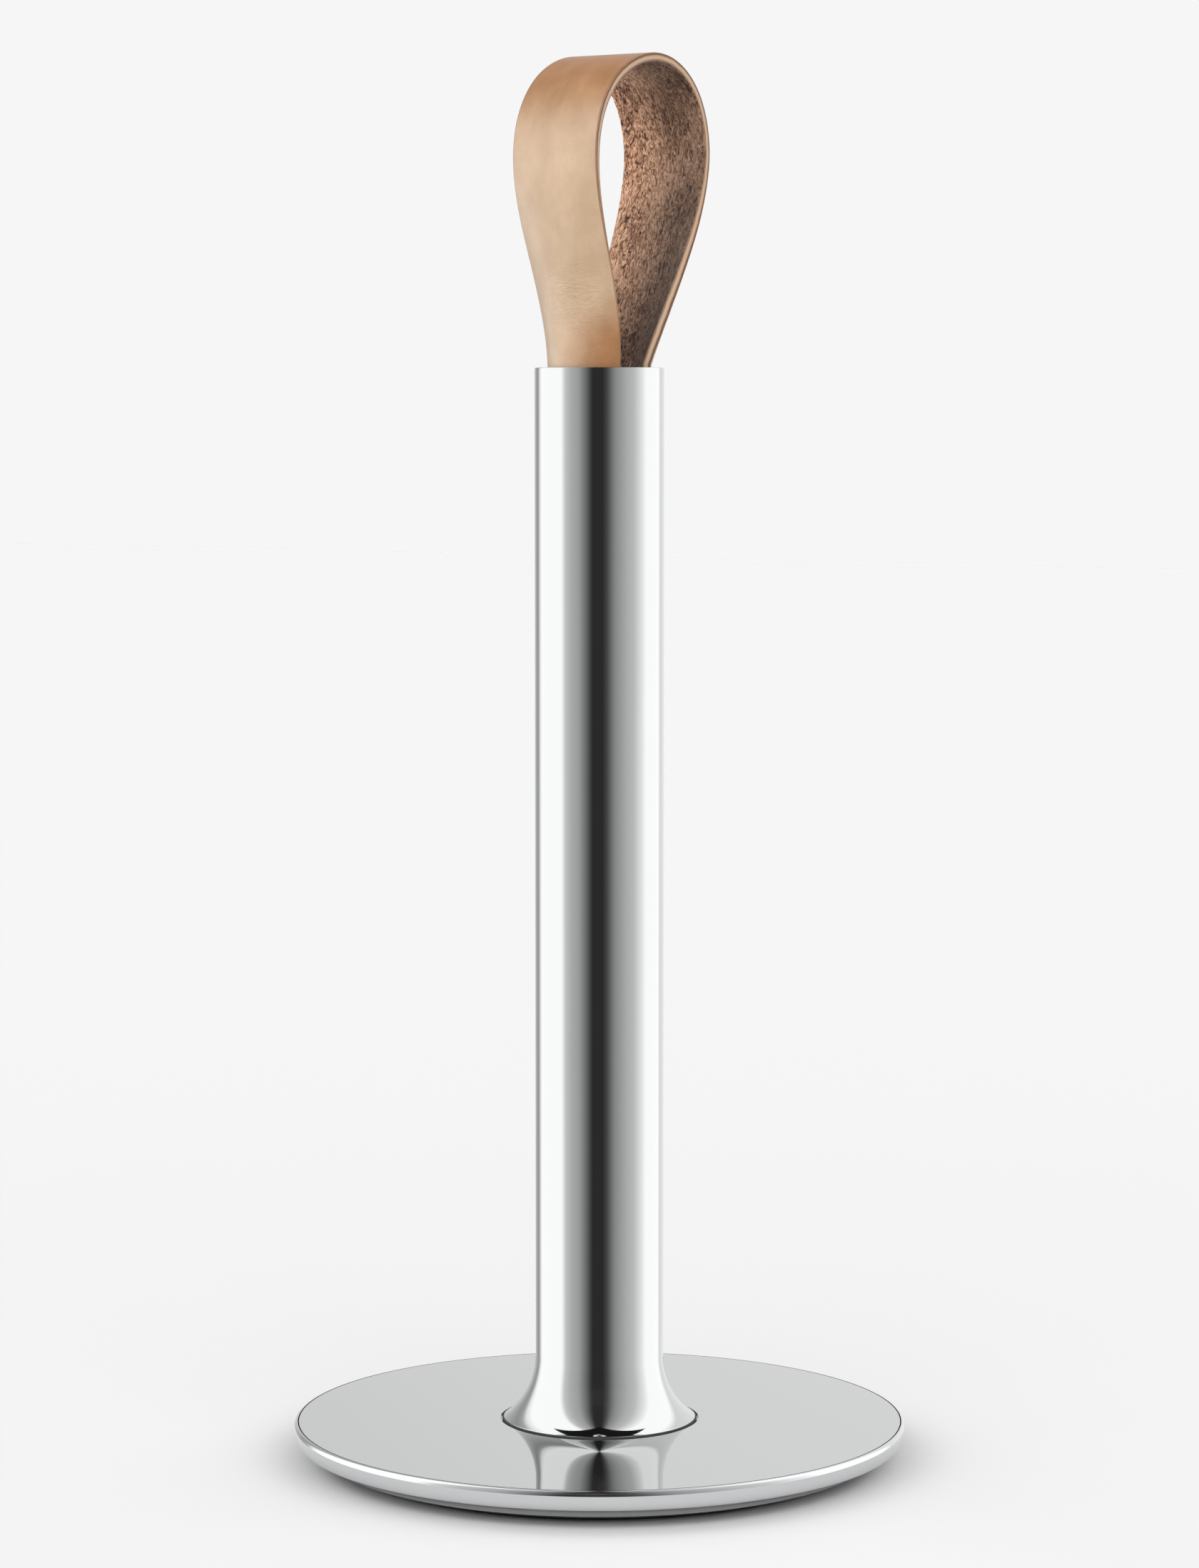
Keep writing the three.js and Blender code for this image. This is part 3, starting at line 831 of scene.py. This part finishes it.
def burnished_cut_edge():
    """The cut edge: a pale core of compressed layers, with a thin dark line under the grain."""
    material, tree, shader = new_material("burnished_cut_edge")
    depth = add_node(tree, "ShaderNodeAttribute", {}, attribute_name="depth")
    layer_place = strip_place(tree, 3, 25)
    waver = add_node(tree, "ShaderNodeTexNoise", {"Vector": layer_place.outputs[0], "Scale": 1.0,
                                                  "Detail": 4.0})
    shift = add_node(tree, "ShaderNodeMath", {0: waver.outputs["Fac"], 1: 0.2, 2: -0.1},
                     operation="MULTIPLY_ADD")
    layer = add_node(tree, "ShaderNodeMath", {0: depth.outputs["Fac"], 1: shift.outputs["Value"]},
                     operation="ADD")
    tone = add_node(tree, "ShaderNodeValToRGB", {"Fac": layer.outputs["Value"]},
                    stops=[(0.0, linear("#5E4433")), (0.24, linear("#7A5C46")), (0.36, linear("#A2876B")),
                           (0.62, linear("#957555")), (0.74, linear("#52331E")), (0.88, linear("#4A2C18")),
                           (0.97, linear("#8A6848"))])
    tree.links.new(tone.outputs["Color"], shader.inputs["Base Color"])
    shader.inputs["Roughness"].default_value = 0.5
    bump = add_node(tree, "ShaderNodeBump", {"Height": waver.outputs["Fac"], "Strength": 0.5,
                                             "Distance": 0.15 * MM})
    tree.links.new(bump.outputs["Normal"], shader.inputs["Normal"])
    return material


for i, leather in enumerate((vegetable_tanned_grain(), raw_flesh_side(), burnished_cut_edge())):
    strap.data.materials[i] = leather
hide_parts("strap_loop", "strap_tail_1", "strap_tail_2")
bend_height = 24
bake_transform(strap, "stand", "loop", start=(0, 0, mouth * MM), end=(0, 0, (mouth + bend_height) * MM))

# ---------------------------------------------------------------------------------------------
# Camera: level with the upper half of the post, a little over a metre away, tipped down so
# that the whole holder fills the frame.
# ---------------------------------------------------------------------------------------------

camera_azimuth = math.radians(-54)
camera_distance = 1.064
camera_height = 0.2588
camera_pitch = 0.0834
focal_length = 98.85

camera_data = bpy.data.cameras.new("camera")
camera = bpy.data.objects.new("camera", camera_data)
bpy.context.collection.objects.link(camera)
camera_data.sensor_width = 36
camera_data.lens = focal_length
camera_data.clip_start = 0.01
camera_data.clip_end = 50
toward_camera = Vector((math.sin(camera_azimuth), -math.cos(camera_azimuth), 0))
camera.location = toward_camera * camera_distance + Vector((0, 0, camera_height))
aim_height = camera_height - camera_distance * math.tan(camera_pitch)
line_of_sight = Vector((0, 0, aim_height)) - camera.location
camera.rotation_euler = line_of_sight.to_track_quat("-Z", "Y").to_euler()
bpy.context.scene.camera = camera

# ---------------------------------------------------------------------------------------------
# Studio: a pale floor that runs out to the backdrop, a tall soft light on either side, a light
# ceiling with a black card under it, and the dark of the room behind the camera.
# ---------------------------------------------------------------------------------------------

scene = bpy.context.scene
scene.view_settings.view_transform = "Standard"
scene.view_settings.look = "None"


def grey(level):
    """A linear grey."""
    return (level, level, level, 1)


def pale_floor():
    """Matt white studio board with the faintest tooth."""
    material, tree, shader = new_material("pale_floor")
    shader.inputs["Roughness"].default_value = 0.9
    shader.inputs["Specular IOR Level"].default_value = 0.0
    place = add_node(tree, "ShaderNodeTexCoord", {})
    tooth = add_node(tree, "ShaderNodeTexNoise", {"Vector": place.outputs["Object"], "Scale": 300.0})
    tone = add_node(tree, "ShaderNodeValToRGB", {"Fac": tooth.outputs["Fac"]},
                    stops=[(0.0, grey(floor_albedo)), (1.0, grey(floor_albedo + floor_tooth))])
    tree.links.new(tone.outputs["Color"], shader.inputs["Base Color"])
    return material


floor_albedo = 0.507
floor_tooth = 0.004
floor_size = 12
near_table_radius = 0.118
near_table_lift = 0.00002
card_height = 0.45
card_size = (0.3, 0.12, 1)
board = pale_floor()
bpy.ops.object.select_all(action="DESELECT")
bpy.ops.mesh.primitive_plane_add(size=floor_size)
floor = bpy.context.object
floor.name = "studio_floor"
floor.data.materials.append(board)
floor.visible_glossy = False

# Only the board close round the base shows in the polished metal.
bpy.ops.mesh.primitive_circle_add(vertices=96, radius=near_table_radius, fill_type="NGON",
                                  location=(0, 0, near_table_lift))
near_table = bpy.context.object
near_table.name = "near_table"
near_table.data.materials.append(board)
near_table.visible_camera = False
near_table.visible_diffuse = False
near_table.visible_shadow = False


def black_felt():
    """Dead black felt over a card, seen only in the polished metal and not through two mirrors."""
    material, tree, shader = new_material("black_felt")
    shader.inputs["Base Color"].default_value = linear("#202020")
    shader.inputs["Roughness"].default_value = 1.0
    shader.inputs["Specular IOR Level"].default_value = 0.0
    light_path = add_node(tree, "ShaderNodeLightPath", {})
    first = add_node(tree, "ShaderNodeMath", {0: light_path.outputs["Ray Depth"], 1: 1.5},
                     operation="LESS_THAN")
    tree.links.new(first.outputs["Value"], shader.inputs["Alpha"])
    return material


# The black card hangs over the holder with its point toward the camera, and darkens the front
# of the post's foot.
bpy.ops.mesh.primitive_circle_add(vertices=3, radius=1, fill_type="NGON", location=(0, 0, card_height),
                                  rotation=(0, 0, camera_azimuth + math.pi))
black_card = bpy.context.object
black_card.name = "black_card"
black_card.scale = card_size
black_card.data.materials.append(black_felt())
black_card.visible_camera = False
black_card.visible_diffuse = False
black_card.visible_shadow = False

# Direction round the post from the camera, in degrees to its right, and the light from there.
room = [(-180, 0.92), (-164, 0.7), (-145, 0.45), (-138, 0.6), (-132, 1.3), (-124, 1.7), (-72, 1.7),
        (-63, 0.95), (-52, 0.72), (-38, 0.58), (-28, 0.335), (-16.5, 0.09), (-12, 0.04), (6, 0.04),
        (13, 0.1), (16.5, 0.155), (28, 0.42), (39, 0.57), (51, 0.73), (64, 0.86), (82, 1.36), (91, 1.7),
        (129, 1.7), (138, 1.1), (157, 1.1), (180, 0.92)]
panels_above = [(-180, 1.7), (-14, 1.7), (-8, 0.04), (6, 0.04), (12, 1.7), (180, 1.7)]
front_lamps = [(-180, 0), (-80, 0), (-50, 4.2), (-20, 7), (20, 7), (50, 4.2), (80, 0), (180, 0)]

# Heights in the room, as the sine of the angle above the floor.
lamps_bottom = 0.3
lamps_top = 0.7
panels_start = 0.74
panels_full = 0.88
backdrop = linear("#F6F6F6")

world = bpy.data.worlds.new("studio")
scene.world = world
world.use_nodes = True
sky = world.node_tree
view = add_node(sky, "ShaderNodeTexCoord", {})
turned = add_node(sky, "ShaderNodeVectorRotate", {"Vector": view.outputs["Generated"],
                                                  "Angle": -camera_azimuth}, rotation_type="Z_AXIS")
axes = add_node(sky, "ShaderNodeSeparateXYZ", {"Vector": turned.outputs["Vector"]})
front = add_node(sky, "ShaderNodeMath", {0: axes.outputs["Y"], 1: -1.0}, operation="MULTIPLY")
bearing = add_node(sky, "ShaderNodeMath", {0: axes.outputs["X"], 1: front.outputs["Value"]},
                   operation="ARCTAN2")
share = add_node(sky, "ShaderNodeMapRange", {"Value": bearing.outputs["Value"], "From Min": -math.pi,
                                             "From Max": math.pi})


def light_round(stops):
    """A ramp of grey light over the bearing, from stops of (degrees, level)."""
    return add_node(sky, "ShaderNodeValToRGB", {"Fac": share.outputs["Result"]},
                    stops=[((angle + 180) / 360, grey(level)) for angle, level in stops])


# Polished metal sees the walls, and panels above them.
walls = light_round(room)
panels = light_round(panels_above)
rise = add_node(sky, "ShaderNodeMapRange", {"Value": axes.outputs["Z"], "From Min": panels_start,
                                            "From Max": panels_full})
mirrored = add_node(sky, "ShaderNodeMix", {"Factor": rise.outputs["Result"],
                                           "A": walls.outputs["Color"],
                                           "B": panels.outputs["Color"]}, data_type="RGBA")

# Everything else is lit by the walls and by lamps on the camera's side of the set.
lamps = light_round(front_lamps)
above = add_node(sky, "ShaderNodeMath", {0: axes.outputs["Z"], 1: lamps_bottom},
                 operation="GREATER_THAN")
below = add_node(sky, "ShaderNodeMath", {0: axes.outputs["Z"], 1: lamps_top}, operation="LESS_THAN")
band = add_node(sky, "ShaderNodeMath", {0: above.outputs["Value"], 1: below.outputs["Value"]},
                operation="MULTIPLY")
lamp_light = add_node(sky, "ShaderNodeVectorMath", {0: lamps.outputs["Color"],
                                                    "Scale": band.outputs["Value"]},
                      operation="SCALE")
lit = add_node(sky, "ShaderNodeVectorMath", {0: walls.outputs["Color"],
                                             1: lamp_light.outputs["Vector"]},
               operation="ADD")

# A second reflection, such as the post's in the plate, is kept plain: it sees only the walls.
ray = add_node(sky, "ShaderNodeLightPath", {})
twice = add_node(sky, "ShaderNodeMath", {0: ray.outputs["Ray Depth"], 1: 1.5}, operation="GREATER_THAN")
polished = add_node(sky, "ShaderNodeMix", {"Factor": twice.outputs["Value"],
                                           "A": mirrored.outputs["Result"],
                                           "B": walls.outputs["Color"]}, data_type="RGBA")
room_light = add_node(sky, "ShaderNodeMix", {"Factor": ray.outputs["Is Glossy Ray"],
                                             "A": lit.outputs["Vector"],
                                             "B": polished.outputs["Result"]}, data_type="RGBA")
seen = add_node(sky, "ShaderNodeMix", {"Factor": ray.outputs["Is Camera Ray"],
                                       "A": room_light.outputs["Result"],
                                       "B": backdrop}, data_type="RGBA")
sky.links.new(seen.outputs["Result"], sky.nodes["Background"].inputs["Color"])
